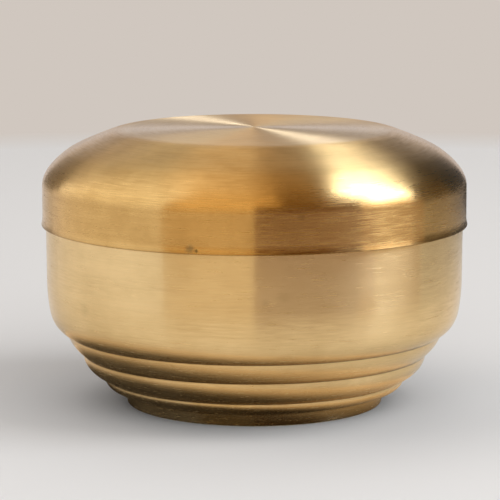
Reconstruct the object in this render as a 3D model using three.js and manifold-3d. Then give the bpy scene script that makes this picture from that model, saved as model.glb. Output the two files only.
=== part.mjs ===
// A round masala dabba: a spun brass box with a stepped base and a domed cap lid. Inside, a lift-out plate
// stands on the ledge above the steps and carries seven straight cups, six around one, with a small spoon
// laid across their rims.
//
// Millimetres, +Z up. The origin is the centre of the foot, on the surface that the box stands on, and the
// spoon lies along X. Every round piece is turned from a half profile of (radius, height) points.

import * as THREE from "three";
import { mergeVertices } from "three/addons/utils/BufferGeometryUtils.js";
import Module from "manifold-3d";

const wasm = await Module();
wasm.setup();

// ---------------------------------------------------------------- driving dimensions

// The bowl, sized at the mouth and counted down the wall from there.
const BOWL = {
  rimRadius: 98,
  height: 104.5,
  sheet: 1,
  draft: 0.35, // how much narrower the straight wall is at its lower end
  wallFoot: 26.1, // height of the straight wall's lower end above the ledge
  turnStart: 11.1, // height above the ledge where the wall turns in
  turnInset: 1.6, // and how far in from the rim it already is there
  turnPull: 8, // how far the turn carries on down before it comes round
  ledge: 9.7, // how far the ledge's inner edge lies inside the rim
};

// The steps of the base, from the ledge down to the foot. Each drops and goes in, and bulges towards a point
// that lies in and down from its own upper edge.
const STEPS = [
  { drop: 10, run: 7.4, bulgeIn: 1.3, bulgeDown: 5.4 },
  { drop: 11.5, run: 10.3, bulgeIn: 0.2, bulgeDown: 7.4 },
  { drop: 6.3, run: 9.2, bulgeIn: -0.8, bulgeDown: 5 },
];

const FOOT = { height: 6.1, inset: 1.15, edge: 1, standWidth: 5.5, kick: 1.6, kickRun: 3 };

const LID = {
  sheet: 1,
  clearance: 0.45, // between the bowl's wall and the inside of the skirt
  skirt: 18.3,
  lip: 0.55, // the skirt's lower edge flares out by this
  lipHeight: 4,
  seatRise: 1, // how far the bowl's rim stands up into the shoulder that stops the lid
};

// The lid's dome, as distances in from the skirt and up from its top: a tight shoulder, a long slope, and a
// soft edge around the flat top, which rises a little to the middle.
const DOME = {
  shoulder: { pullUp: 7.4, in: 10.95, up: 15.4 },
  slope: { pullIn: 15.95, pullUp: 19, in: 31.45, up: 24.7 },
  edge: { pullIn: 33.85, pullUp: 25.58, in: 37.45, up: 25.65 },
  apexUp: 26.6,
};

const TRAY = {
  sheet: 1,
  lipDepth: 3,
  corner: 1.5,
  edgeOut: 2.7, // how far its edge lies outside the inner edge of the ledge that it rests on
  holeRadius: 9,
  holeEdge: 4, // metal left between a finger hole and the plate's edge
};

// Six cups of one size fit exactly around a seventh.
const CUPS = {
  around: 6,
  sheet: 0.8,
  taper: 3.6, // the wall is this much narrower at its foot
  corner: 5,
  bead: 1, // radius of the rolled rim
  beadNeck: 0.4, // height of the step under the bead
  headroom: 12.4, // from the cups' rims up to the bowl's rim
  wallGap: 1.5,
  sideGap: 0.9,
};

const SPOON = {
  dishRadius: 15,
  dishDepth: 6.5,
  dishFullness: 0.8, // how far out its flat bottom is felt, as a share of its radius
  sheet: 1.2,
  handleLength: 88,
  neckWidth: 6,
  endWidth: 9.5,
  mouthGap: 2.5, // between the dish and the mouth of the cup that it hangs into
};

const REST_GAP = 0.3; // under each piece that rests on another
const SIDES = { shell: 48, cup: 24, spoon: 20, hole: 16, handleEnd: 4 };
const CURVE_STEPS = { base: 3, wall: 2, dome: 4, edge: 2, tray: 2, cup: 2, spoon: 4 };

// ---------------------------------------------------------------- tools

const at = (radius, height) => new THREE.Vector2(radius, height);

function curve(from, pull, to, steps) {
  return new THREE.QuadraticBezierCurve(from, pull, to).getPoints(steps).slice(1);
}

// The other face of a sheet: every point of a face moved square to it, to the left of its direction.
function offsetFace(points, sheet) {
  const normals = points.slice(1).map((p, i) => {
    const along = p.clone().sub(points[i]).normalize();
    return at(-along.y, along.x);
  });
  return points.map((p, i) => {
    const before = normals[Math.max(i - 1, 0)];
    const after = normals[Math.min(i, normals.length - 1)];
    const mitre = before.clone().add(after).normalize();
    return p.clone().addScaledVector(mitre, sheet / mitre.dot(after));
  });
}

// A sheet's half profile, from the axis along one face to its edge, and back to the axis along the other.
function sheetProfile(face, sheet) {
  const back = offsetFace(face, sheet).reverse();
  return face[0].x === 0 ? [...face, ...back] : [...back, ...face];
}

// Turns a half profile about Z. An offset face can end a hair past the axis, and is brought back to it.
function turned(profile, sides) {
  const points = profile.map((p) => at(Math.max(p.x, 0), p.y));
  return new THREE.LatheGeometry(points, sides).rotateX(Math.PI / 2);
}

function solidOf(geometry) {
  const plain = geometry.clone();
  plain.deleteAttribute("normal");
  plain.deleteAttribute("uv");
  const merged = mergeVertices(plain, 1e-4);
  const mesh = new wasm.Mesh({
    numProp: 3,
    vertProperties: new Float32Array(merged.attributes.position.array),
    triVerts: new Uint32Array(merged.index.array),
  });
  return new wasm.Manifold(mesh);
}

function geometryOf(solid) {
  const mesh = solid.getMesh();
  const geometry = new THREE.BufferGeometry();
  geometry.setAttribute("position", new THREE.BufferAttribute(mesh.vertProperties, 3));
  geometry.setIndex(new THREE.BufferAttribute(mesh.triVerts, 1));
  geometry.computeVertexNormals();
  return geometry;
}

// Where a face that goes outwards and upwards first reaches a value of one coordinate, "x" or "y".
function reach(face, coordinate, value) {
  const i = face.findIndex((p) => p[coordinate] >= value);
  const from = face[i - 1];
  const share = (value - from[coordinate]) / (face[i][coordinate] - from[coordinate]);
  return from.clone().lerp(face[i], share);
}

// ---------------------------------------------------------------- bowl

// The creases between the steps, from the ledge down to the top of the foot.
function creases() {
  const ledgeHeight = FOOT.height + STEPS.reduce((sum, step) => sum + step.drop, 0);
  const points = [at(BOWL.rimRadius - BOWL.ledge, ledgeHeight)];
  for (const step of STEPS) {
    const above = points.at(-1);
    points.push(at(above.x - step.run, above.y - step.drop));
  }
  return points;
}

// The bowl's outer face, from the middle of its underside to the rim.
function bowlFace() {
  const crease = creases();
  const ledge = crease[0];
  const footRadius = crease.at(-1).x - FOOT.inset;
  const standInner = footRadius - FOOT.standWidth;
  const face = [
    at(0, FOOT.kick),
    at(standInner - FOOT.kickRun, FOOT.kick),
    at(standInner, 0),
    at(footRadius - FOOT.edge, 0),
    at(footRadius, FOOT.edge),
    crease.at(-1),
  ];
  for (let i = STEPS.length - 1; i >= 0; i--) {
    const pull = at(crease[i].x - STEPS[i].bulgeIn, crease[i].y - STEPS[i].bulgeDown);
    face.push(...curve(crease[i + 1], pull, crease[i], CURVE_STEPS.base));
  }
  const turn = at(BOWL.rimRadius - BOWL.turnInset, ledge.y + BOWL.turnStart);
  const wallFoot = at(BOWL.rimRadius - BOWL.draft, ledge.y + BOWL.wallFoot);
  const upper = at(wallFoot.x, (turn.y + wallFoot.y) / 2);
  // The turn and the wall above it share a tangent where they meet.
  const slope = (upper.x - turn.x) / (upper.y - turn.y);
  const lower = at(turn.x - slope * BOWL.turnPull, turn.y - BOWL.turnPull);
  face.push(...curve(ledge, lower, turn, CURVE_STEPS.base));
  face.push(...curve(turn, upper, wallFoot, CURVE_STEPS.wall));
  face.push(at(BOWL.rimRadius, BOWL.height));
  return face;
}

// The bowl's inner face, in the same order.
function bowlInside() {
  return offsetFace(bowlFace(), BOWL.sheet);
}

function bowlGeometry() {
  return turned(sheetProfile(bowlFace(), BOWL.sheet), SIDES.shell);
}

// ---------------------------------------------------------------- lid

// The lid's outer face, from the skirt's lower edge to the middle of the top.
function lidFace() {
  const skirtRadius = BOWL.rimRadius + LID.clearance + LID.sheet;
  const skirtTop = BOWL.height - LID.seatRise;
  const skirtFoot = skirtTop - LID.skirt;
  const inUp = (distanceIn, up) => at(skirtRadius - distanceIn, skirtTop + up);
  const { shoulder, slope, edge } = DOME;
  const shoulderTop = inUp(shoulder.in, shoulder.up);
  const slopeTop = inUp(slope.in, slope.up);
  const flatEdge = inUp(edge.in, edge.up);
  return [
    at(skirtRadius + LID.lip, skirtFoot),
    at(skirtRadius, skirtFoot + LID.lipHeight),
    inUp(0, 0),
    ...curve(inUp(0, 0), inUp(0, shoulder.pullUp), shoulderTop, CURVE_STEPS.dome),
    ...curve(shoulderTop, inUp(slope.pullIn, slope.pullUp), slopeTop, CURVE_STEPS.dome),
    ...curve(slopeTop, inUp(edge.pullIn, edge.pullUp), flatEdge, CURVE_STEPS.edge),
    at(0, skirtTop + DOME.apexUp),
  ];
}

function lidGeometry() {
  return turned(sheetProfile(lidFace(), LID.sheet), SIDES.shell);
}

// ---------------------------------------------------------------- tray

// The plate's edge comes down on the ledge, a little out from the ledge's inner edge.
function trayPlace() {
  const radius = creases()[0].x + TRAY.edgeOut;
  const foot = reach(bowlInside(), "x", radius).y + REST_GAP;
  return { radius, foot, top: foot + TRAY.lipDepth };
}

// A flat plate with its edge turned down, and two finger holes to lift it out by.
function trayGeometry() {
  const { radius, foot, top } = trayPlace();
  const cornerFoot = at(radius, top - TRAY.corner);
  const cornerTop = at(radius - TRAY.corner, top);
  const face = [
    at(radius, foot),
    cornerFoot,
    ...curve(cornerFoot, at(radius, top), cornerTop, CURVE_STEPS.tray),
    at(0, top),
  ];
  const drill = new THREE.CylinderGeometry(TRAY.holeRadius, TRAY.holeRadius, 4 * TRAY.sheet, SIDES.hole);
  drill.rotateX(Math.PI / 2);
  const holeOut = radius - TRAY.holeEdge - TRAY.holeRadius;
  let plate = solidOf(turned(sheetProfile(face, TRAY.sheet), SIDES.shell));
  for (const side of [-1, 1]) {
    plate = plate.subtract(solidOf(drill.clone().translate(0, side * holeOut, top)));
  }
  return geometryOf(plate);
}

// ---------------------------------------------------------------- cups

// What the bowl leaves for a cup: its rim's outer radius, the circle that six stand on, and its two heights.
function cupPlace() {
  const foot = trayPlace().top + REST_GAP;
  const top = BOWL.height - CUPS.headroom;
  const room = reach(bowlInside(), "y", top).x - CUPS.wallGap;
  const radius = (room - CUPS.sideGap) / 3;
  return { radius, pitch: 2 * radius + CUPS.sideGap, foot, top };
}

// A straight cup with a rounded foot and a bead rolled outwards at its rim.
function cupGeometry() {
  const { radius, foot, top } = cupPlace();
  const wall = radius - 2 * CUPS.bead + CUPS.sheet / 2;
  const floor = wall - CUPS.taper;
  const beadFoot = top - 2 * CUPS.bead;
  const cornerIn = at(floor - CUPS.corner, foot);
  const cornerUp = at(floor, foot + CUPS.corner);
  const outer = [
    at(0, foot),
    cornerIn,
    ...curve(cornerIn, at(floor, foot), cornerUp, CURVE_STEPS.cup),
    at(wall, beadFoot - CUPS.beadNeck),
  ];
  const inner = offsetFace(outer, CUPS.sheet).reverse();
  const bead = [
    at(radius - CUPS.bead, beadFoot),
    at(radius, beadFoot + CUPS.bead),
    at(radius - CUPS.bead, top),
    at(wall - CUPS.sheet, top - CUPS.bead),
  ];
  return turned([...outer, ...bead, ...inner], SIDES.cup);
}

// ---------------------------------------------------------------- spoon

// The round dish, centred on Z.
function dishGeometry(lipTop) {
  const outerFoot = lipTop - SPOON.dishDepth;
  const innerFoot = outerFoot + SPOON.sheet;
  const innerRadius = SPOON.dishRadius - SPOON.sheet;
  const outerPull = at(SPOON.dishRadius * SPOON.dishFullness, outerFoot);
  const innerPull = at(innerRadius * SPOON.dishFullness, innerFoot);
  return turned([
    at(0, outerFoot),
    ...curve(at(0, outerFoot), outerPull, at(SPOON.dishRadius, lipTop), CURVE_STEPS.spoon),
    at(innerRadius, lipTop),
    ...curve(at(innerRadius, lipTop), innerPull, at(0, innerFoot), CURVE_STEPS.spoon),
  ], SIDES.spoon);
}

// The flat handle, which widens from the dish's wall to a round end.
function handleGeometry() {
  const start = SPOON.dishRadius - SPOON.sheet / 2;
  const endRadius = SPOON.endWidth / 2;
  const end = SPOON.dishRadius + SPOON.handleLength - endRadius;
  const outline = new THREE.Shape();
  outline.moveTo(start, -SPOON.neckWidth / 2);
  outline.lineTo(end, -endRadius);
  outline.absarc(end, 0, endRadius, -Math.PI / 2, Math.PI / 2, false);
  outline.lineTo(start, SPOON.neckWidth / 2);
  outline.closePath();
  return new THREE.ExtrudeGeometry(outline, {
    depth: SPOON.sheet,
    bevelEnabled: false,
    curveSegments: 2 * SIDES.handleEnd,
  });
}

// The spoon lies level on the cups' rims, with its dish hanging into the mouth of the cup at -X.
function spoonGeometry() {
  const { pitch, radius, top } = cupPlace();
  const level = top + REST_GAP;
  const dish = solidOf(dishGeometry(level + SPOON.sheet));
  const handle = solidOf(handleGeometry().translate(0, 0, level));
  const mouth = radius - 2 * CUPS.bead;
  const dishOut = pitch - mouth + SPOON.mouthGap + SPOON.dishRadius;
  return geometryOf(dish.add(handle)).translate(-dishOut, 0, 0);
}

// ---------------------------------------------------------------- assembly

const MATERIALS = {
  bowl: new THREE.MeshStandardMaterial({ color: 0xcda86a, roughness: 0.34, metalness: 1 }),
  lid: new THREE.MeshStandardMaterial({ color: 0xc79c55, roughness: 0.28, metalness: 1 }),
  tray: new THREE.MeshStandardMaterial({ color: 0xcda86a, roughness: 0.38, metalness: 1 }),
  cup: new THREE.MeshStandardMaterial({ color: 0xd2ab66, roughness: 0.3, metalness: 1 }),
  spoon: new THREE.MeshStandardMaterial({ color: 0xc89b4f, roughness: 0.25, metalness: 1 }),
};

function piece(name, geometry, material) {
  const mesh = new THREE.Mesh(geometry, material);
  mesh.name = name;
  return mesh;
}

const dabba = new THREE.Group();
dabba.add(piece("bowl", bowlGeometry(), MATERIALS.bowl));
dabba.add(piece("lid", lidGeometry(), MATERIALS.lid));
dabba.add(piece("lift_out_tray", trayGeometry(), MATERIALS.tray));

const cup = cupGeometry();
const { pitch } = cupPlace();
dabba.add(piece("cup_centre", cup, MATERIALS.cup));
for (let i = 0; i < CUPS.around; i++) {
  const angle = (i / CUPS.around) * 2 * Math.PI;
  const mesh = piece(`cup_${i + 1}`, cup, MATERIALS.cup);
  mesh.position.set(pitch * Math.cos(angle), pitch * Math.sin(angle), 0);
  dabba.add(mesh);
}
dabba.add(piece("spoon", spoonGeometry(), MATERIALS.spoon));

export default dabba;
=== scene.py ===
"""The looks of a turned brass spice box (masala dabba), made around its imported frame.

Sizes in the classes are millimetres, and places come from the frame's own boxes. Every round piece is made
as on a lathe: its half profile is drawn by extruding one vertex from point to point, and spun about its axis.
"""

import logging
import math
from dataclasses import dataclass
from enum import Enum

import bpy
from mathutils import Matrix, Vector


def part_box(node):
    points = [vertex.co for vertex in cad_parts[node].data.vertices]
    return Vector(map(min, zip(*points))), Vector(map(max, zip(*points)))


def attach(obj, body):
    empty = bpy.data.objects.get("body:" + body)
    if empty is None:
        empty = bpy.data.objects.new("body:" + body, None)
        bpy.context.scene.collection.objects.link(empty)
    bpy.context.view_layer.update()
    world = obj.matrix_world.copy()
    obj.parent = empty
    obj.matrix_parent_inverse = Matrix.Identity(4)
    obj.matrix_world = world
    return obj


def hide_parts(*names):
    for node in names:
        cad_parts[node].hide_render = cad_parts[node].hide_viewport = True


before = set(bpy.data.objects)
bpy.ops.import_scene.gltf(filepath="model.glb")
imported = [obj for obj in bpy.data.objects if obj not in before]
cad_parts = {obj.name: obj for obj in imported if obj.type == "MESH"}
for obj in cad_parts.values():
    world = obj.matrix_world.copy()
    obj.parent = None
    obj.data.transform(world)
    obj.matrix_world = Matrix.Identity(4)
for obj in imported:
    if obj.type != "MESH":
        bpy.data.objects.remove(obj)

LOG = logging.getLogger("dabba")
MM = 0.001

# How meshes are finished: what is merged, in millimetres, and what is eased and smoothed, in degrees.
MERGE_GAP = 0.002
EASED_ANGLE = 35
SMOOTH_ANGLE = 30
EDGE_FACETS = 2

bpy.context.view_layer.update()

Point = tuple[float, float]
Point3 = tuple[float, float, float]


# ------------------------------------------------------------------ colours and nodes


def linear(hex_code: str, alpha: float = 1.0) -> tuple[float, float, float, float]:
    """Turns an sRGB colour into the linear colour that shaders take.

    Args:
        hex_code: the colour as "#RRGGBB".
        alpha: the fourth value of the result.

    Returns:
        The linear red, green and blue, and the alpha.
    """
    parts = [int(hex_code[i : i + 2], 16) / 255 for i in (1, 3, 5)]
    red, green, blue = (c / 12.92 if c <= 0.04045 else ((c + 0.055) / 1.055) ** 2.4 for c in parts)
    return red, green, blue, alpha


def add_node(
    tree: bpy.types.NodeTree, kind: str, links: dict | None = None, **settings
) -> bpy.types.Node:
    """Adds a node to a tree, with its settings and links.

    Args:
        tree: the node tree.
        kind: the node's type name, without "ShaderNode".
        links: for each input, by name or number, an output socket to link or a value to set.
        settings: the node's own properties.

    Returns:
        The new node.
    """
    node = tree.nodes.new("ShaderNode" + kind)
    for name, value in settings.items():
        setattr(node, name, value)
    for key, value in (links or {}).items():
        if isinstance(value, bpy.types.NodeSocket):
            tree.links.new(value, node.inputs[key])
        else:
            node.inputs[key].default_value = value
    return node


# ------------------------------------------------------------------ profiles and turning


def bend(start: Point, pull: Point, end: Point, steps: int) -> list[Point]:
    """Gives the points of a curved stretch of a profile, without its first one.

    Args:
        start: where the curve starts.
        pull: the point that it bends towards.
        end: where it ends.
        steps: how many points it has.

    Returns:
        The points after the start, up to the end.
    """
    points = []
    for i in range(1, steps + 1):
        t = i / steps
        a, b, c = (1 - t) ** 2, 2 * t * (1 - t), t * t
        points.append(tuple(a * start[k] + b * pull[k] + c * end[k] for k in (0, 1)))
    return points


def straight(start: Point, end: Point, steps: int) -> list[Point]:
    """Gives the points of a straight stretch of a profile, without its first one."""
    return bend(start, tuple((start[k] + end[k]) / 2 for k in (0, 1)), end, steps)


def only_select(obj: bpy.types.Object) -> None:
    """Deselects everything, and selects and activates one object."""
    bpy.ops.object.select_all(action="DESELECT")
    obj.select_set(True)
    bpy.context.view_layer.objects.active = obj


def turn(name: str, profile: list[Point], sides: int) -> bpy.types.Object:
    """Turns a piece as on a lathe, about the Z axis.

    Args:
        name: the piece's name.
        profile: its half profile as (radius, height), in millimetres.
        sides: how many facets go round.

    Returns:
        The new object, with its normals outwards.
    """
    bpy.ops.object.select_all(action="DESELECT")
    start = profile[0]
    bpy.ops.mesh.primitive_plane_add(size=1 * MM, location=(start[0] * MM, 0, start[1] * MM))
    obj = bpy.context.object
    obj.name = obj.data.name = name
    bpy.ops.object.transform_apply(location=True)
    bpy.ops.object.mode_set(mode="EDIT")
    bpy.ops.mesh.merge(type="CENTER")
    for before, after in zip(profile, profile[1:]):
        step = ((after[0] - before[0]) * MM, 0, (after[1] - before[1]) * MM)
        bpy.ops.mesh.extrude_region_move(TRANSFORM_OT_translate={"value": step})
    bpy.ops.mesh.select_all(action="SELECT")
    bpy.ops.mesh.spin(steps=sides, angle=2 * math.pi, center=(0, 0, 0), axis=(0, 0, 1))
    bpy.ops.mesh.select_all(action="SELECT")
    bpy.ops.mesh.remove_doubles(threshold=MERGE_GAP * MM)
    bpy.ops.mesh.normals_make_consistent(inside=False)
    bpy.ops.object.mode_set(mode="OBJECT")
    return obj


def apply_modifier(obj: bpy.types.Object, kind: str, **settings) -> None:
    """Adds a modifier to an object with its settings, and applies it."""
    only_select(obj)
    modifier = obj.modifiers.new(kind, kind)
    for name, value in settings.items():
        setattr(modifier, name, value)
    bpy.ops.object.modifier_apply(modifier=modifier.name)


def give_wall(obj: bpy.types.Object, thickness: float) -> None:
    """Gives a turned face its wall, on the inside; the thickness is in millimetres."""
    apply_modifier(
        obj,
        "SOLIDIFY",
        thickness=thickness * MM,
        offset=-1,
        use_even_offset=True,
        use_quality_normals=True,
    )


def finish_sheet(obj: bpy.types.Object, thickness: float, edge: float) -> None:
    """Gives a turned face its wall, and eases its edges.

    Args:
        obj: the turned face.
        thickness: the sheet, in millimetres, added on the inside; 0 for a piece that is closed already.
        edge: the size of the eased edges, in millimetres.
    """
    if thickness:
        give_wall(obj, thickness)
    apply_modifier(
        obj,
        "BEVEL",
        width=edge * MM,
        segments=EDGE_FACETS,
        limit_method="ANGLE",
        angle_limit=math.radians(EASED_ANGLE),
        harden_normals=False,
    )
    only_select(obj)
    bpy.ops.object.shade_smooth_by_angle(angle=math.radians(SMOOTH_ANGLE))


def move_mesh(obj: bpy.types.Object, x: float, y: float) -> None:
    """Moves a piece's mesh sideways, in metres, and leaves its object at the origin."""
    only_select(obj)
    bpy.ops.transform.translate(value=(x, y, 0))
    bpy.ops.object.transform_apply(location=True)


def box_mm(node: str) -> tuple[Vector, Vector]:
    """Gives a CAD node's lowest and highest corners, in millimetres."""
    low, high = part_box(node)
    return low / MM, high / MM


# ------------------------------------------------------------------ finishes

# How finely the noises are drawn; patches are many times a line's width, so theirs has more levels.
LINE_DETAIL = 2
PATCH_DETAIL = 4
NOISE_ROUGHNESS = 0.6

# Where the darkening lies about a crease, in widths above it, and how much of the most there is there: dirt,
# and painted crease shade.
CREASE_DIRT_AND_SHADE_STOPS = ((-0.15, 0.0), (0.0, 1.0), (0.4, 0.53), (1.0, 0.0))


@dataclass(frozen=True)
class Mark:
    """A small bruise or stain. Its azimuth is in degrees, 0 in front of the box and 90 to its right."""

    azimuth: float
    height: float
    radius: float
    size: float
    colour: str = "#746A56"
    amount: float = 0.6
    core: float = 0.3  # the share of its size that is at full strength
    grain: float = 0.35  # the size of the roughness of its edge, as a share of its own

    def place(self) -> Point3:
        """Gives the mark's middle, in metres."""
        angle = math.radians(self.azimuth)
        out = self.radius * MM
        return out * math.sin(angle), -out * math.cos(angle), self.height * MM


@dataclass(frozen=True)
class TurnedBrass:
    """Brass sheet, spun to shape and finished on the lathe with an abrasive pad.

    The pad leaves fine lines around the piece. They give satin brass its look: a reflection stays sharp
    along the lines, and is drawn out across them.
    """

    name: str
    colour: str
    tarnish: str
    roughness: float = 0.245
    roughness_spread: float = 0.03
    crown_roughness: float = 0.34
    anisotropy: float = 0.97
    line_pitch: float = 0.5  # the pad's lines are 0.1 mm apart; drawn coarser, so that they show
    line_breaks: float = 9.0
    line_depth: float = 0.003
    line_shade: float = 0.42
    band_pitch: float = 3.0
    band_breaks: float = 1.2
    band_shade: float = 0.35
    tarnish_size: float = 34.0
    tarnish_amount: float = 0.25
    line_range: Point = (0.3, 0.7)  # the part of the lines' noise that is used
    band_range: Point = (0.35, 0.65)
    tarnish_range: Point = (0.35, 0.7)
    # A flat top's painted pale sheen: a paler colour that stands in for the reflection of the pale walls.
    painted_top_sheen: str = "#F0DCB8"
    painted_top_sheen_amount: float = 0.3
    painted_top_sheen_fade: float = 5.0
    # The colour and amount of the darkening at creases: dirt, and painted crease shade.
    crease_dirt_and_shade: str = "#4A3416"
    crease_dirt_and_shade_amount: float = 0.75
    crease_width: float = 2.0

    def material(
        self,
        axis: Point = (0.0, 0.0),
        creases: tuple[float, ...] = (),
        crown: Point | None = None,
        flat_top: float = 0.0,
        marks: tuple[Mark, ...] = (),
    ) -> bpy.types.Material:
        """Makes the material.

        Args:
            axis: the x and y of the piece's own axis, in metres.
            creases: the heights of the creases that are darkened with dirt and painted shade, in millimetres,
                from the lowest up.
            crown: the heights, in millimetres, between which the finish turns to the top's coarser one.
            flat_top: the radius of the flat top that gets a painted pale sheen, in millimetres, or 0 for
                none.
            marks: the bruises and stains that the piece has.

        Returns:
            The new material.
        """
        material = bpy.data.materials.new(self.name)
        material.use_nodes = True
        tree = material.node_tree
        tree.nodes.clear()
        place = add_node(tree, "TexCoord")
        centred = add_node(
            tree, "Mapping", {"Vector": place.outputs["Object"], "Location": (-axis[0], -axis[1], 0)}
        )
        height = add_node(tree, "SeparateXYZ", {0: centred.outputs[0]})
        lines = self._rings(tree, centred, height, self.line_pitch, self.line_breaks)
        bands = self._rings(tree, centred, height, self.band_pitch, self.band_breaks)
        colour = self._tarnished(tree, centred, lines, bands)
        if creases:
            colour = self._dirt_and_shade_in_creases(tree, height, colour, creases)
        if flat_top:
            colour = self._with_painted_top_sheen(tree, centred, colour, flat_top)
        for mark in marks:
            colour = self._marked(tree, centred, colour, mark)
        rough = add_node(
            tree,
            "MapRange",
            {
                "Value": lines.outputs["Fac"],
                "From Min": self.line_range[0],
                "From Max": self.line_range[1],
                "To Min": self.roughness - self.roughness_spread,
                "To Max": self.roughness + self.roughness_spread,
            },
        )
        if crown:
            coarser = add_node(
                tree,
                "MapRange",
                {
                    "Value": height.outputs["Z"],
                    "From Min": crown[0] * MM,
                    "From Max": crown[1] * MM,
                    "To Max": self.crown_roughness - self.roughness,
                },
            )
            rough = add_node(
                tree, "Math", {0: rough.outputs[0], 1: coarser.outputs[0]}, operation="ADD"
            )
        bump = add_node(
            tree,
            "Bump",
            {"Height": lines.outputs["Fac"], "Strength": 1.0, "Distance": self.line_depth * MM},
        )
        tangent = add_node(tree, "Tangent", direction_type="RADIAL", axis="Z")
        shader = add_node(
            tree,
            "BsdfPrincipled",
            {
                "Base Color": colour,
                "Metallic": 1.0,
                "Roughness": rough.outputs[0],
                "Anisotropic": self.anisotropy,
                # A quarter turn, because the reflection is drawn out across the lines.
                "Anisotropic Rotation": 0.25,
                "Tangent": tangent.outputs[0],
                "Normal": bump.outputs[0],
            },
        )
        add_node(tree, "OutputMaterial", {"Surface": shader.outputs[0]})
        return material

    @staticmethod
    def _rings(
        tree: bpy.types.NodeTree,
        centred: bpy.types.Node,
        height: bpy.types.Node,
        pitch: float,
        breaks: float,
    ) -> bpy.types.Node:
        """Adds noise that is drawn out around the piece.

        Args:
            tree: the node tree.
            centred: the node that gives the place from the piece's axis.
            height: the node whose Z is the height.
            pitch: the distance between rings, in millimetres.
            breaks: how often a ring changes on its way round.

        Returns:
            The noise node.
        """
        per_metre = 1 / (pitch * MM)
        flat = add_node(
            tree, "VectorMath", {0: centred.outputs[0], 1: (1, 1, 0)}, operation="MULTIPLY"
        )
        radius = add_node(tree, "VectorMath", {0: flat.outputs[0]}, operation="LENGTH")
        facing = add_node(tree, "VectorMath", {0: flat.outputs[0]}, operation="NORMALIZE")
        side = add_node(tree, "SeparateXYZ", {0: facing.outputs[0]})
        out = add_node(tree, "Math", {0: radius.outputs["Value"], 1: per_metre}, operation="MULTIPLY")
        up = add_node(tree, "Math", {0: height.outputs["Z"], 1: per_metre}, operation="MULTIPLY")
        across = add_node(tree, "Math", {0: side.outputs["X"], 1: breaks}, operation="MULTIPLY")
        along = add_node(tree, "Math", {0: side.outputs["Y"], 1: breaks}, operation="MULTIPLY")
        where = add_node(
            tree, "CombineXYZ", {"X": out.outputs[0], "Y": up.outputs[0], "Z": across.outputs[0]}
        )
        return add_node(
            tree,
            "TexNoise",
            {
                "Vector": where.outputs[0],
                "W": along.outputs[0],
                "Scale": 1,
                "Detail": LINE_DETAIL,
                "Roughness": NOISE_ROUGHNESS,
            },
            noise_dimensions="4D",
        )

    def _tarnished(
        self,
        tree: bpy.types.NodeTree,
        centred: bpy.types.Node,
        lines: bpy.types.Node,
        bands: bpy.types.Node,
    ) -> bpy.types.NodeSocket:
        """Adds the brass's colour, with tarnish in patches and in the pad's lines and bands.

        Args:
            tree: the node tree.
            centred: the node that gives the place from the piece's axis.
            lines: the noise of the pad's lines.
            bands: the noise of its bands.

        Returns:
            The socket that gives the colour.
        """
        patches = add_node(
            tree,
            "TexNoise",
            {
                "Vector": centred.outputs[0],
                "Scale": 1 / (self.tarnish_size * MM),
                "Detail": PATCH_DETAIL,
                "Roughness": NOISE_ROUGHNESS,
            },
        )
        shares = []
        for noise, (low, high), most in (
            (patches, self.tarnish_range, 2 * self.tarnish_amount),
            (lines, self.line_range, self.line_shade),
            (bands, self.band_range, self.band_shade),
        ):
            links = {"Value": noise.outputs["Fac"], "From Min": low, "From Max": high, "To Max": most}
            shares.append(add_node(tree, "MapRange", links))
        patched, lined, banded = shares
        both = add_node(
            tree, "Math", {0: lined.outputs[0], 1: banded.outputs[0]}, operation="MULTIPLY"
        )
        amount = add_node(tree, "Math", {0: both.outputs[0], 1: patched.outputs[0]}, operation="ADD")
        tint = add_node(tree, "Mix", {"Factor": amount.outputs[0]}, data_type="RGBA")
        # Sockets 6 and 7 of a colour mix are its two colours.
        tint.inputs[6].default_value = linear(self.colour)
        tint.inputs[7].default_value = linear(self.tarnish)
        return tint.outputs[2]

    def _dirt_and_shade_in_creases(
        self,
        tree: bpy.types.NodeTree,
        height: bpy.types.Node,
        colour: bpy.types.NodeSocket,
        creases: tuple[float, ...],
    ) -> bpy.types.NodeSocket:
        """Adds the darkening just above each crease: dirt that gathers where a cloth doesn't reach, and
        painted shade in the crease.

        Args:
            tree: the node tree.
            height: the node whose Z is the height.
            colour: the socket of the metal's colour before the creases are darkened.
            creases: the creases' heights, in millimetres, from the lowest up.

        Returns:
            The socket that gives the colour.
        """
        top = creases[-1] + 2 * self.crease_width
        level = add_node(
            tree, "Math", {0: height.outputs["Z"], 1: 1 / (top * MM)}, operation="MULTIPLY"
        )
        ramp = add_node(tree, "ValToRGB", {"Fac": level.outputs[0]})
        ramp.color_ramp.elements[0].color = ramp.color_ramp.elements[1].color = (0, 0, 0, 1)
        for crease in creases:
            for above, share in CREASE_DIRT_AND_SHADE_STOPS:
                stop = ramp.color_ramp.elements.new((crease + above * self.crease_width) / top)
                stop.color = (*(share * self.crease_dirt_and_shade_amount,) * 3, 1)
        # Darkens the colour at each crease: dirt, and painted shade.
        dirty_and_shaded = add_node(tree, "Mix", {"Factor": ramp.outputs["Color"], 6: colour}, data_type="RGBA")
        dirty_and_shaded.inputs[7].default_value = linear(self.crease_dirt_and_shade)
        return dirty_and_shaded.outputs[2]

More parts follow.
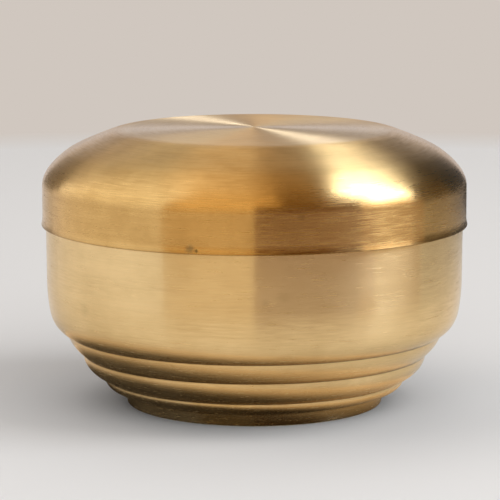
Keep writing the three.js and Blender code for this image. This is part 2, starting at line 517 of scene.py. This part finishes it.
    def _with_painted_top_sheen(
        self,
        tree: bpy.types.NodeTree,
        centred: bpy.types.Node,
        colour: bpy.types.NodeSocket,
        flat_top: float,
    ) -> bpy.types.NodeSocket:
        """Adds a painted pale sheen to a flat top, up to its edge: a paler colour for the reflection of the
        pale walls.

        Args:
            tree: the node tree.
            centred: the node that gives the place from the piece's axis.
            colour: the socket of the metal's colour.
            flat_top: the radius of the flat top, in millimetres.

        Returns:
            The socket that gives the colour.
        """
        flat = add_node(
            tree, "VectorMath", {0: centred.outputs[0], 1: (1, 1, 0)}, operation="MULTIPLY"
        )
        radius = add_node(tree, "VectorMath", {0: flat.outputs[0]}, operation="LENGTH")
        amount = add_node(
            tree,
            "MapRange",
            {
                "Value": radius.outputs["Value"],
                "From Min": (flat_top - self.painted_top_sheen_fade) * MM,
                "From Max": flat_top * MM,
                "To Min": self.painted_top_sheen_amount,
                "To Max": 0.0,
            },
        )
        # Paints the pale sheen into the colour.
        pale = add_node(tree, "Mix", {"Factor": amount.outputs[0], 6: colour}, data_type="RGBA")
        pale.inputs[7].default_value = linear(self.painted_top_sheen)
        return pale.outputs[2]

    @staticmethod
    def _marked(
        tree: bpy.types.NodeTree, centred: bpy.types.Node, colour: bpy.types.NodeSocket, mark: Mark
    ) -> bpy.types.NodeSocket:
        """Adds a mark, with a ragged edge.

        Args:
            tree: the node tree.
            centred: the node that gives the place from the piece's axis.
            colour: the socket of the metal's colour.
            mark: the mark.

        Returns:
            The socket that gives the colour.
        """
        size = mark.size * MM
        grain = add_node(
            tree,
            "TexNoise",
            {"Vector": centred.outputs[0], "Scale": 1 / (size * mark.grain), "Detail": LINE_DETAIL},
        )
        shift = add_node(
            tree, "VectorMath", {0: grain.outputs["Color"], 1: (size,) * 3}, operation="MULTIPLY"
        )
        near = add_node(
            tree, "VectorMath", {0: centred.outputs[0], 1: shift.outputs[0]}, operation="ADD"
        )
        # The noise is half on average, so the mark's middle is moved by half its size as well.
        middle = tuple(at + size / 2 for at in mark.place())
        away = add_node(tree, "VectorMath", {0: near.outputs[0], 1: middle}, operation="DISTANCE")
        amount = add_node(
            tree,
            "MapRange",
            {
                "Value": away.outputs["Value"],
                "From Min": size * mark.core,
                "From Max": size,
                "To Min": mark.amount,
                "To Max": 0.0,
            },
        )
        marked = add_node(tree, "Mix", {"Factor": amount.outputs[0], 6: colour}, data_type="RGBA")
        marked.inputs[7].default_value = linear(mark.colour)
        return marked.outputs[2]


# The bowl is wiped often and handled less, so it is pale and even. The lid is handled most, so it is
# darker, and its lines are the strongest. Use rubs the spoon in every direction, so a reflection is drawn
# out less on it.
BOWL_FINISH = TurnedBrass(
    "bowl_satin_brass",
    colour="#FAD89C",
    tarnish="#B48A48",
    roughness_spread=0.035,
    line_pitch=0.6,
    line_depth=0.0015,
    line_shade=0.5,
    tarnish_amount=0.12,
)
LID_FINISH = TurnedBrass(
    "lid_satin_brass",
    colour="#E8BB74",
    tarnish="#A07230",
    roughness_spread=0.06,
    line_pitch=0.6,
    line_depth=0.005,
    line_shade=0.6,
    tarnish_amount=0.2,
    crease_dirt_and_shade_amount=0.4,
)
TRAY_FINISH = TurnedBrass("tray_satin_brass", colour="#E9C88F", tarnish="#A98246", roughness=0.36)
CUP_FINISH = TurnedBrass("cup_satin_brass", colour="#EBC889", tarnish="#A67E40")
SPOON_FINISH = TurnedBrass(
    "spoon_satin_brass", colour="#E8BF78", tarnish="#9C7436", roughness=0.28, anisotropy=0.4
)


def dress(piece: bpy.types.Object, material: bpy.types.Material) -> None:
    """Gives a piece its material."""
    piece.data.materials.clear()
    piece.data.materials.append(material)


# ------------------------------------------------------------------ bowl


@dataclass(frozen=True)
class Step:
    """One step of the base: how far it drops and goes in, and the point that it bulges towards."""

    drop: float
    run: float
    bulge_in: float
    bulge_down: float


@dataclass
class Bowl:
    """The spun body: a straight wall, a ledge, three steps and a small foot."""

    sheet: float = 1.0
    draft: float = 0.35
    wall_foot: float = 26.1
    turn_start: float = 11.1
    turn_inset: float = 1.6
    turn_pull: float = 8.0
    ledge: float = 9.7
    steps: tuple[Step, ...] = (
        Step(10.0, 7.4, 1.3, 5.4),
        Step(11.5, 10.3, 0.2, 7.4),
        Step(6.3, 9.2, -0.8, 5.0),
    )
    foot_height: float = 6.1
    foot_inset: float = 1.15
    foot_edge: float = 1.0
    stand_width: float = 5.5
    kick: float = 1.6
    kick_run: float = 3.0
    eased: float = 0.3
    sides: int = 256
    long_points: int = 24
    step_points: int = 14
    turn_points: int = 8
    foot_points: int = 5
    stand_points: int = 4

    def creases(self) -> list[Point]:
        """Gives the creases between the steps, from the ledge down to the top of the foot."""
        _, high = box_mm("bowl")
        points = [(high.x - self.ledge, self.foot_height + sum(step.drop for step in self.steps))]
        for step in self.steps:
            radius, height = points[-1]
            points.append((radius - step.run, height - step.drop))
        return points

    def profile(self) -> list[Point]:
        """Gives the outer face, from the middle of the underside to the rim."""
        _, high = box_mm("bowl")
        creases = self.creases()
        foot_radius = creases[-1][0] - self.foot_inset
        stand_inner = foot_radius - self.stand_width
        kick_edge = (stand_inner - self.kick_run, self.kick)
        points = [(0.0, self.kick)]
        points += straight(points[-1], kick_edge, self.long_points)
        kick_pull = (stand_inner - self.kick_run / 2, self.kick)
        points += bend(kick_edge, kick_pull, (stand_inner, 0.0), self.foot_points)
        points += straight(points[-1], (foot_radius - self.foot_edge, 0.0), self.stand_points)
        foot_side = (foot_radius, self.foot_edge)
        points += bend(points[-1], (foot_radius, 0.0), foot_side, self.foot_points)
        points += straight(points[-1], creases[-1], self.foot_points)
        for i in reversed(range(len(self.steps))):
            top = creases[i]
            pull = (top[0] - self.steps[i].bulge_in, top[1] - self.steps[i].bulge_down)
            points += bend(creases[i + 1], pull, top, self.step_points)
        ledge = creases[0]
        turn_point = (high.x - self.turn_inset, ledge[1] + self.turn_start)
        wall_foot = (high.x - self.draft, ledge[1] + self.wall_foot)
        upper = (wall_foot[0], (turn_point[1] + wall_foot[1]) / 2)
        slope = (upper[0] - turn_point[0]) / (upper[1] - turn_point[1])
        lower = (turn_point[0] - slope * self.turn_pull, turn_point[1] - self.turn_pull)
        points += bend(ledge, lower, turn_point, self.step_points)
        points += bend(turn_point, upper, wall_foot, self.turn_points)
        points += straight(wall_foot, (high.x, high.z), self.long_points)
        return points

    def build(self) -> bpy.types.Object:
        """Makes the bowl and dresses it."""
        piece = turn("bowl_shell", self.profile(), self.sides)
        finish_sheet(piece, self.sheet, self.eased)
        # The bowl's creases are darkened in colour: dirt, and painted crease shade.
        heights = tuple(sorted(height for _, height in self.creases()))
        wall = box_mm("bowl")[1].x
        marks = (
            Mark(3.0, 64.0, wall, 2.0, "#7A6A48", 0.15),
            Mark(7.5, 66.0, wall, 4.0, "#9A7C48", 0.14),
            Mark(31.0, 59.0, wall, 8.0, "#D8A048", 0.14),
            Mark(-52.0, 54.0, wall, 4.0, "#8E7A50", 0.12),
        )
        dress(piece, BOWL_FINISH.material(creases=heights, marks=marks))
        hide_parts("bowl")
        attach(piece, "bowl")
        return piece


# ------------------------------------------------------------------ lid


@dataclass
class Lid:
    """The domed cap: a straight skirt, a tight shoulder, a long slope and a flat, soft-edged top."""

    sheet: float = 1.0
    skirt: float = 18.3
    lip: float = 0.55
    lip_height: float = 4.0
    shoulder: tuple[Point, Point] = ((0.0, 7.4), (10.95, 15.4))
    slope: tuple[Point, Point] = ((15.95, 19.0), (31.45, 24.7))
    edge: tuple[Point, Point] = ((33.85, 25.58), (37.45, 25.65))
    edge_inset: float = 3.0
    eased: float = 0.25
    sides: int = 256
    lip_points: int = 8
    side_points: int = 16
    top_points: int = 30

    def profile(self) -> list[Point]:
        """Gives the outer face, from the skirt's lower edge to the middle of the top."""
        low, high = box_mm("lid")
        skirt_radius = high.x - self.lip
        skirt_top = low.z + self.skirt
        lip_top = (skirt_radius, low.z + self.lip_height)
        points = [(high.x, low.z)]
        lip_pull = (skirt_radius, low.z + self.lip_height / 2)
        points += bend(points[0], lip_pull, lip_top, self.lip_points)
        points += straight(lip_top, (skirt_radius, skirt_top), self.side_points)
        for (pull_in, pull_up), (end_in, end_up) in (self.shoulder, self.slope, self.edge):
            pull = (skirt_radius - pull_in, skirt_top + pull_up)
            end = (skirt_radius - end_in, skirt_top + end_up)
            points += bend(points[-1], pull, end, self.side_points)
        flat_edge = points[-1]
        flat_pull = (flat_edge[0] / 2, high.z)
        points += bend(flat_edge, flat_pull, (0.0, high.z), self.top_points)
        return points

    def build(self) -> bpy.types.Object:
        """Makes the lid and dresses it."""
        piece = turn("lid_shell", self.profile(), self.sides)
        finish_sheet(piece, self.sheet, self.eased)
        low, high = box_mm("lid")
        skirt = high.x - self.lip
        marks = (
            Mark(-16.5, low.z + 2.4, skirt, 2.6),
            Mark(-14.8, low.z + 1.6, skirt, 1.1, "#4A3C22", 0.8),
            Mark(12.0, low.z + 17.0, skirt, 2.2, "#6A4C20", 0.25),
        )
        crown = (low.z + self.skirt, low.z + self.skirt + self.shoulder[1][1])
        # The flat top gets a painted pale sheen in its colour.
        flat_top = skirt - self.slope[1][0] - self.edge_inset
        # The skirt's lower edge is darkened as a crease is: dirt, and painted shade.
        material = LID_FINISH.material(
            creases=(low.z,), crown=crown, flat_top=flat_top, marks=marks
        )
        dress(piece, material)
        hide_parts("lid")
        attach(piece, "lid")
        return piece


# ------------------------------------------------------------------ tray


@dataclass
class Tray:
    """The lift-out plate, with its edge turned down and two finger holes."""

    sheet: float = 1.0
    corner: float = 1.5
    hole_radius: float = 9.0
    hole_edge: float = 4.0
    eased: float = 0.2
    sides: int = 192
    hole_sides: int = 64
    lip_points: int = 4
    corner_points: int = 6
    plate_points: int = 30

    def profile(self) -> list[Point]:
        """Gives the outer face, from the lip's lower edge to the middle of the plate."""
        low, high = box_mm("lift_out_tray")
        points = [(high.x, low.z)]
        points += straight(points[-1], (high.x, high.z - self.corner), self.lip_points)
        corner_end = (high.x - self.corner, high.z)
        points += bend(points[-1], (high.x, high.z), corner_end, self.corner_points)
        points += straight(points[-1], (0.0, high.z), self.plate_points)
        return points

    def build(self) -> bpy.types.Object:
        """Makes the plate, cuts its finger holes and dresses it."""
        _, high = box_mm("lift_out_tray")
        piece = turn("tray_plate", self.profile(), self.sides)
        give_wall(piece, self.sheet)
        reach = (high.x - self.hole_edge - self.hole_radius) * MM
        for side in (-1, 1):
            bpy.ops.object.select_all(action="DESELECT")
            bpy.ops.mesh.primitive_cylinder_add(
                vertices=self.hole_sides,
                radius=self.hole_radius * MM,
                depth=6 * self.sheet * MM,
                location=(0, side * reach, high.z * MM),
            )
            drill = bpy.context.object
            apply_modifier(piece, "BOOLEAN", object=drill, operation="DIFFERENCE", solver="EXACT")
            bpy.data.objects.remove(drill)
        finish_sheet(piece, 0, self.eased)
        dress(piece, TRAY_FINISH.material())
        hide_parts("lift_out_tray")
        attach(piece, "tray")
        return piece


# ------------------------------------------------------------------ cups


@dataclass
class Cups:
    """Seven straight cups with a rolled bead, made once and copied."""

    sheet: float = 0.8
    taper: float = 3.6
    corner: float = 5.0
    bead: float = 1.0
    bead_neck: float = 0.4
    bead_start: float = -100.0
    bead_turn: float = 240.0
    eased: float = 0.12
    sides: int = 128
    floor_points: int = 10
    corner_points: int = 8
    wall_points: int = 12
    neck_points: int = 2

    def names(self) -> list[str]:
        """Gives the names of the frame's cups."""
        return sorted(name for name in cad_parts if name.startswith("cup_"))

    def profile(self) -> list[Point]:
        """Gives the closed half profile, from the underside's middle over the bead to the inside's."""
        low, high = box_mm("cup_centre")
        radius = high.x
        wall = radius - 2 * self.bead + self.sheet / 2
        floor = wall - self.taper
        points = [(0.0, low.z)]
        points += straight(points[-1], (floor - self.corner, low.z), self.floor_points)
        corner_end = (floor, low.z + self.corner)
        points += bend(points[-1], (floor, low.z), corner_end, self.corner_points)
        neck = (wall, high.z - 2 * self.bead - self.bead_neck)
        points += straight(points[-1], neck, self.wall_points)
        centre = (radius - self.bead, high.z - self.bead)
        for i in range(self.wall_points + 1):
            angle = math.radians(self.bead_start + self.bead_turn / self.wall_points * i)
            across, up = self.bead * math.cos(angle), self.bead * math.sin(angle)
            points.append((centre[0] + across, centre[1] + up))
        points += straight(points[-1], (wall - self.sheet, neck[1]), self.neck_points)
        inner, inner_floor = floor - self.sheet, low.z + self.sheet
        points += straight(points[-1], (inner, low.z + self.corner), self.wall_points)
        inner_corner = (floor - self.corner, inner_floor)
        points += bend(points[-1], (inner, inner_floor), inner_corner, self.corner_points)
        points += straight(points[-1], (0.0, inner_floor), self.floor_points)
        return points

    def build(self) -> list[bpy.types.Object]:
        """Makes the cups and dresses them."""
        first = turn("cup_shell", self.profile(), self.sides)
        finish_sheet(first, 0, self.eased)
        pieces = []
        for name in self.names():
            piece = first.copy()
            piece.data = first.data.copy()
            piece.name = piece.data.name = f"{name}_shell"
            bpy.context.scene.collection.objects.link(piece)
            low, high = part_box(name)
            middle = (low + high) / 2
            move_mesh(piece, middle.x, middle.y)
            dress(piece, CUP_FINISH.material((middle.x, middle.y)))
            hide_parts(name)
            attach(piece, name)
            pieces.append(piece)
        bpy.data.objects.remove(first)
        return pieces


# ------------------------------------------------------------------ spoon


@dataclass
class Spoon:
    """A round dish with a flat handle that widens to a round end."""

    dish_radius: float = 15.0
    fullness: float = 0.8
    sheet: float = 1.2
    neck_width: float = 6.0
    end_width: float = 9.5
    handle_start: float = 4.0
    stretches: int = 6
    end_round: float = 0.49  # the rounding of the handle's end, as a share of its width
    end_facets: int = 10
    eased: float = 0.25
    sides: int = 96
    dish_points: int = 20
    rim_points: int = 3

    def profile(self) -> list[Point]:
        """Gives the dish's closed half profile, from the middle of its underside round to its inside."""
        low, high = box_mm("spoon")
        inner_radius = self.dish_radius - self.sheet
        inner_foot = low.z + self.sheet
        points = [(0.0, low.z)]
        outer_pull = (self.dish_radius * self.fullness, low.z)
        points += bend(points[-1], outer_pull, (self.dish_radius, high.z), self.dish_points)
        points += straight(points[-1], (inner_radius, high.z), self.rim_points)
        inner_pull = (inner_radius * self.fullness, inner_foot)
        points += bend(points[-1], inner_pull, (0.0, inner_foot), self.dish_points)
        return points

    def handle(self) -> bpy.types.Object:
        """Makes the handle, by extruding a small block along it and rounding its end."""
        low, high = box_mm("spoon")
        start = low.x + 2 * self.dish_radius - self.sheet / 2
        first = self.handle_start
        bpy.ops.object.select_all(action="DESELECT")
        bpy.ops.mesh.primitive_cube_add(
            size=1 * MM, location=((start + first / 2) * MM, 0, (high.z - self.sheet / 2) * MM)
        )
        obj = bpy.context.object
        bpy.ops.transform.resize(value=(first, self.neck_width, self.sheet))
        bpy.ops.object.transform_apply(location=True, rotation=True, scale=True)
        bpy.ops.object.mode_set(mode="EDIT")
        bpy.ops.mesh.select_all(action="DESELECT")
        bpy.ops.object.mode_set(mode="OBJECT")
        for face in obj.data.polygons:
            face.select = face.normal.x > 0.9
        bpy.ops.object.mode_set(mode="EDIT")
        bpy.ops.mesh.select_mode(type="FACE")
        stride = ((high.x - start - first) / self.stretches * MM, 0, 0)
        growth = (self.end_width / self.neck_width) ** (1 / self.stretches)
        for _ in range(self.stretches):
            bpy.ops.mesh.extrude_region_move(TRANSFORM_OT_translate={"value": stride})
            bpy.ops.transform.resize(value=(1, growth, 1))
        bpy.ops.mesh.select_all(action="DESELECT")
        bpy.ops.object.mode_set(mode="OBJECT")
        end = max(v.co.x for v in obj.data.vertices)
        near = 0.1 * MM
        for edge in obj.data.edges:
            a, b = (obj.data.vertices[i].co for i in edge.vertices)
            edge.select = min(a.x, b.x) > end - near and abs(a.y - b.y) < near
        bpy.ops.object.mode_set(mode="EDIT")
        bpy.ops.mesh.select_mode(type="EDGE")
        rounding = self.end_width * self.end_round * MM
        bpy.ops.mesh.bevel(offset=rounding, segments=self.end_facets, affect="EDGES")
        bpy.ops.object.mode_set(mode="OBJECT")
        return obj

    def build(self) -> bpy.types.Object:
        """Makes the spoon, joins its two parts and dresses it."""
        low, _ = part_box("spoon")
        piece = turn("spoon_brass", self.profile(), self.sides)
        centre = low.x + self.dish_radius * MM
        move_mesh(piece, centre, 0)
        handle = self.handle()
        apply_modifier(piece, "BOOLEAN", object=handle, operation="UNION", solver="EXACT")
        bpy.data.objects.remove(handle)
        finish_sheet(piece, 0, self.eased)
        dress(piece, SPOON_FINISH.material((centre, 0.0)))
        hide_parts("spoon")
        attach(piece, "spoon")
        return piece


# ------------------------------------------------------------------ studio


# The height that the panels' angles are seen from, in metres, and the size of a card's facets, in degrees.
EYE_HEIGHT = 0.09
CARD_FACET = 6


class Part(Enum):
    """What a studio panel does."""

    LIGHTS = "lights the floor, and is not seen"
    REFLECTS = "shows as a reflection in the metal, and lights nothing"


def around(azimuth: float, elevation: float, distance: float) -> Vector:
    """Gives a point around the box.

    Args:
        azimuth: degrees, 0 in front of the box and 90 to its right.
        elevation: degrees above the horizon, seen from the box.
        distance: metres from the box's middle.

    Returns:
        The point, in metres.
    """
    a, e = math.radians(azimuth), math.radians(elevation)
    out, up = distance * math.cos(e), distance * math.sin(e)
    return Vector((out * math.sin(a), -out * math.cos(a), EYE_HEIGHT + up))


@dataclass(frozen=True)
class Panel:
    """A soft light or a card, given by the angles that it fills as seen from the box."""

    name: str
    part: Part
    azimuth: Point
    elevation: Point
    colour: str
    strength: float
    distance: float = 1.6

    def hang(self) -> bpy.types.Object:
        """Makes the panel as what its part in the studio asks for."""
        return self._light() if self.part is Part.LIGHTS else self._card()

    def _spans(self) -> Point:
        """Gives the angles that the panel fills across and upwards, in degrees."""
        return self.azimuth[1] - self.azimuth[0], self.elevation[1] - self.elevation[0]

    def _light(self) -> bpy.types.Object:
        """Hangs a flat area light, whose strength is the brightness of its face."""
        middle = (sum(self.azimuth) / 2, sum(self.elevation) / 2)
        width, height = (
            2 * self.distance * math.tan(math.radians(span) / 2) for span in self._spans()
        )
        width *= math.cos(math.radians(middle[1]))
        data = bpy.data.lights.new(self.name, "AREA")
        data.shape = "RECTANGLE"
        data.size, data.size_y = width, height
        data.color = linear(self.colour)[:3]
        # A face with a brightness of 1 gives off pi watts per square metre.
        data.energy = self.strength * math.pi * width * height
        obj = bpy.data.objects.new(self.name, data)
        obj.location = around(*middle, self.distance)
        obj.rotation_euler = (around(0, 0, 0) - obj.location).to_track_quat("-Z", "Y").to_euler()
        bpy.context.scene.collection.objects.link(obj)
        obj.visible_camera = obj.visible_glossy = False
        return obj

    def _card(self) -> bpy.types.Object:
        """Hangs a curved card, by drawing its upright edge and spinning it round the box."""
        width, height = self._spans()
        columns, rows = (max(1, round(span / CARD_FACET)) for span in (width, height))
        levels = [self.elevation[0] + height / rows * i for i in range(rows + 1)]
        # A spin turns clockwise, so the card starts at its far side.
        edge = [around(self.azimuth[1], level, self.distance) for level in levels]
        bpy.ops.object.select_all(action="DESELECT")
        bpy.ops.mesh.primitive_plane_add(size=10 * MM, location=edge[0])
        obj = bpy.context.object
        obj.name = self.name
        bpy.ops.object.transform_apply(location=True)
        bpy.ops.object.mode_set(mode="EDIT")
        bpy.ops.mesh.merge(type="CENTER")
        for before, after in zip(edge, edge[1:]):
            bpy.ops.mesh.extrude_region_move(TRANSFORM_OT_translate={"value": after - before})
        bpy.ops.mesh.select_all(action="SELECT")
        angle = math.radians(width)
        bpy.ops.mesh.spin(steps=columns, angle=angle, center=(0, 0, 0), axis=(0, 0, 1))
        bpy.ops.object.mode_set(mode="OBJECT")
        obj.data.materials.append(glowing(self.name, self.colour, self.strength))
        obj.visible_camera = obj.visible_diffuse = obj.visible_shadow = False
        return obj


def glowing(name: str, colour: str, strength: float) -> bpy.types.Material:
    """Makes a plain surface of an even brightness."""
    material = bpy.data.materials.new(name)
    material.use_nodes = True
    tree = material.node_tree
    tree.nodes.clear()
    glow = add_node(tree, "Emission", {"Color": linear(colour), "Strength": strength})
    add_node(tree, "OutputMaterial", {"Surface": glow.outputs[0]})
    return material


def matt(name: str, colour: str) -> bpy.types.Material:
    """Makes a plain matt surface."""
    material = bpy.data.materials.new(name)
    material.use_nodes = True
    shader = material.node_tree.nodes["Principled BSDF"]
    shader.inputs["Base Color"].default_value = linear(colour)
    shader.inputs["Roughness"].default_value = 0.9
    shader.inputs["Specular IOR Level"].default_value = 0.1
    return material


# One strong light on the right, and weaker ones all round that keep its shadows soft.
LIGHTS = (
    Panel("window_light", Part.LIGHTS, (58, 98), (18, 62), "#FFFEFC", 3.1, 2.4),
    Panel("front_fill", Part.LIGHTS, (-30, 60), (12, 45), "#FFFEFC", 1.9, 2.4),
    Panel("left_fill", Part.LIGHTS, (-130, -60), (30, 75), "#FFF6EE", 0.85, 2.4),
    Panel("back_fill", Part.LIGHTS, (150, 210), (25, 70), "#FFFFFF", 0.6, 2.4),
)

# What the metal reflects: a bright window on the right, pale walls and ceilings, and dark in between.
CARDS = (
    Panel("window", Part.REFLECTS, (69, 99), (22, 44), "#C4D8FF", 13.0),
    Panel("window_high", Part.REFLECTS, (69, 98), (44, 64), "#C4D8FF", 19.0),
    Panel("under_window", Part.REFLECTS, (58, 91), (4, 23), "#FFF0E0", 1.5),
    Panel("window_sill", Part.REFLECTS, (60, 91), (-12, 4), "#FFDCB4", 0.34, 0.4),
    Panel("left_wall", Part.REFLECTS, (-128, -48), (5, 62), "#F2F6FF", 1.36),
    Panel("left_horizon", Part.REFLECTS, (-128, -46), (-8.5, 5), "#FCFAFF", 0.78, 0.55),
    Panel("front_left", Part.REFLECTS, (-48, 0), (4, 62), "#FFE2B0", 0.9),
    Panel("front_left_horizon", Part.REFLECTS, (-46, 0), (-8.5, 4), "#FFD894", 0.44, 0.55),
    Panel("front_right_edge", Part.REFLECTS, (0, 15), (26, 62), "#FFDCA0", 0.85),
    Panel("front_right_flag", Part.REFLECTS, (0, 58), (4, 26), "#FFC468", 0.16),
    Panel("front_right_flag_high", Part.REFLECTS, (15, 60), (26, 72), "#FFCE80", 0.25),
    Panel("front_right_horizon", Part.REFLECTS, (0, 60), (-12, 4), "#FF8C14", 0.15, 0.4),
    Panel("right_flag", Part.REFLECTS, (99, 128), (-2, 36), "#FFE8C4", 0.11),
    Panel("back_right_flag", Part.REFLECTS, (128, 160), (-2, 36), "#DCE8FF", 0.06),
    Panel("back_right_horizon", Part.REFLECTS, (92, 160), (-8.5, -2), "#EBE0D0", 0.06, 0.55),
    Panel("back_left_flag", Part.REFLECTS, (-158, -128), (-2, 28), "#FAEEDC", 0.22),
    Panel("ceiling_left", Part.REFLECTS, (-180, -60), (62, 89), "#FFF8F2", 1.2),
    Panel("ceiling_front", Part.REFLECTS, (-60, 15), (62, 89), "#FFE8C8", 0.8),
    Panel("ceiling_right", Part.REFLECTS, (15, 180), (72, 89), "#FFE0B4", 0.6),
    Panel("back_wall", Part.REFLECTS, (160, 202), (-2, 36), "#F2F0F4", 0.76),
    Panel("back_wall_high", Part.REFLECTS, (99, 225), (36, 62), "#D2DEF4", 0.7),
)


@dataclass
class Studio:
    """The floor, the backdrop, the lights and the camera."""

    floor_colour: str = "#E6E7E9"
    floor_radius: float = 970.0
    floor_brightness: float = 0.74
    backdrop_colour: str = "#D0C7BF"
    backdrop_radius: float = 4200.0
    backdrop_height: float = 4000.0
    backdrop_lift: float = 0.5
    fade: float = 110.0
    sides: int = 96
    room_colour: str = "#FFF6EC"
    room: float = 0.35
    shade_colour: str = "#FFE6C6"
    shade_darkest: float = 0.02
    shade_start: float = 76.0
    shade_radius: float = 113.0
    shade_shift: float = 26.0
    shade_lift: float = 0.3
    camera_place: Point3 = (0.0, -1.35, 0.2882)  # metres
    camera_tilt: float = 9.11  # degrees below the horizon
    camera_reach: Point = (0.05, 30.0)  # metres
    lens: float = 208.9
    lens_shift: float = -0.0087
    sensor: float = 36.0

    def floor(self) -> None:
        """Lays the floor."""
        bpy.ops.object.select_all(action="DESELECT")
        bpy.ops.mesh.primitive_plane_add(size=2 * self.backdrop_radius * MM)
        obj = bpy.context.object
        obj.name = "floor"
        obj.data.materials.append(matt("floor_paper", self.floor_colour))

    def backdrop(self) -> None:
        """Stands the backdrop round the floor, which it fades into; only the camera sees it."""
        profile = [
            (self.floor_radius, self.backdrop_lift),
            (self.backdrop_radius, self.backdrop_lift),
            (self.backdrop_radius, self.backdrop_height),
        ]
        obj = turn("backdrop", profile, self.sides)
        material = glowing("backdrop_paper", self.backdrop_colour, 1.0)
        tree = material.node_tree
        place = add_node(tree, "TexCoord")
        away = add_node(tree, "VectorMath", {0: place.outputs["Object"]}, operation="LENGTH")
        shown = add_node(
            tree,
            "MapRange",
            {
                "Value": away.outputs["Value"],
                "From Min": self.floor_radius * MM,
                "From Max": (self.floor_radius + self.fade) * MM,
            },
        )
        clear = add_node(tree, "BsdfTransparent")
        paper = tree.nodes["Emission"]
        mixed = add_node(
            tree, "MixShader", {0: shown.outputs[0], 1: clear.outputs[0], 2: paper.outputs[0]}
        )
        tree.links.new(mixed.outputs[0], tree.nodes["Material Output"].inputs["Surface"])
        obj.data.materials.append(material)
        obj.visible_diffuse = obj.visible_glossy = obj.visible_shadow = False

    def build(self) -> None:
        """Sets the stage, hangs the lights and cards, and places the camera."""
        self.floor()
        self.backdrop()
        for panel in LIGHTS + CARDS:
            panel.hang()
        self.contact_shade()
        world = bpy.data.worlds.new("studio_air")
        bpy.context.scene.world = world
        world.use_nodes = True
        background = world.node_tree.nodes["Background"]
        background.inputs["Color"].default_value = linear(self.room_colour)
        background.inputs["Strength"].default_value = self.room
        self.camera()

    def contact_shade(self) -> None:
        """Darkens the floor that the metal reflects, with a round card that is darkest at the foot."""
        bpy.ops.object.select_all(action="DESELECT")
        radius = self.shade_radius * MM
        middle = (-self.shade_shift * MM, 0, self.shade_lift * MM)
        bpy.ops.mesh.primitive_circle_add(
            vertices=self.sides, radius=radius, fill_type="NGON", location=middle
        )
        obj = bpy.context.object
        obj.name = "contact_shade"
        material = glowing(obj.name, self.shade_colour, 1.0)
        tree = material.node_tree
        place = add_node(tree, "TexCoord")
        away = add_node(tree, "VectorMath", {0: place.outputs["Object"]}, operation="LENGTH")
        grade = add_node(
            tree,
            "MapRange",
            {
                "Value": away.outputs["Value"],
                "From Min": self.shade_start * MM,
                "From Max": radius,
                "To Min": self.shade_darkest,
                "To Max": self.floor_brightness,
            },
            interpolation_type="SMOOTHSTEP",
        )
        tree.links.new(grade.outputs["Result"], tree.nodes["Emission"].inputs["Strength"])
        obj.data.materials.append(material)
        obj.visible_camera = obj.visible_diffuse = obj.visible_shadow = False

    def camera(self) -> None:
        """Places the camera in front of the box, a little above it, and looks down on it."""
        data = bpy.data.cameras.new("camera")
        data.sensor_width = self.sensor
        data.lens = self.lens
        data.shift_x = self.lens_shift
        data.clip_start, data.clip_end = self.camera_reach
        obj = bpy.data.objects.new("camera", data)
        obj.location = self.camera_place
        obj.rotation_euler = (math.radians(90 - self.camera_tilt), 0, 0)
        bpy.context.scene.collection.objects.link(obj)
        bpy.context.scene.camera = obj
        bpy.context.scene.view_settings.view_transform = "Standard"
        # Light thrown back on to the floor by the metal is left out: it is faint, and slow to settle.
        bpy.context.scene.cycles.caustics_reflective = False


# ------------------------------------------------------------------ all of it


def main() -> None:
    """Builds every piece around the frame and logs it."""
    logging.basicConfig(level=logging.INFO, format="%(name)s: %(message)s")
    Studio().build()
    pieces = [Bowl().build(), Lid().build(), Tray().build(), *Cups().build(), Spoon().build()]
    for piece in pieces:
        LOG.info("%s: %d faces", piece.name, len(piece.data.polygons))


if __name__ == "__main__":
    main()
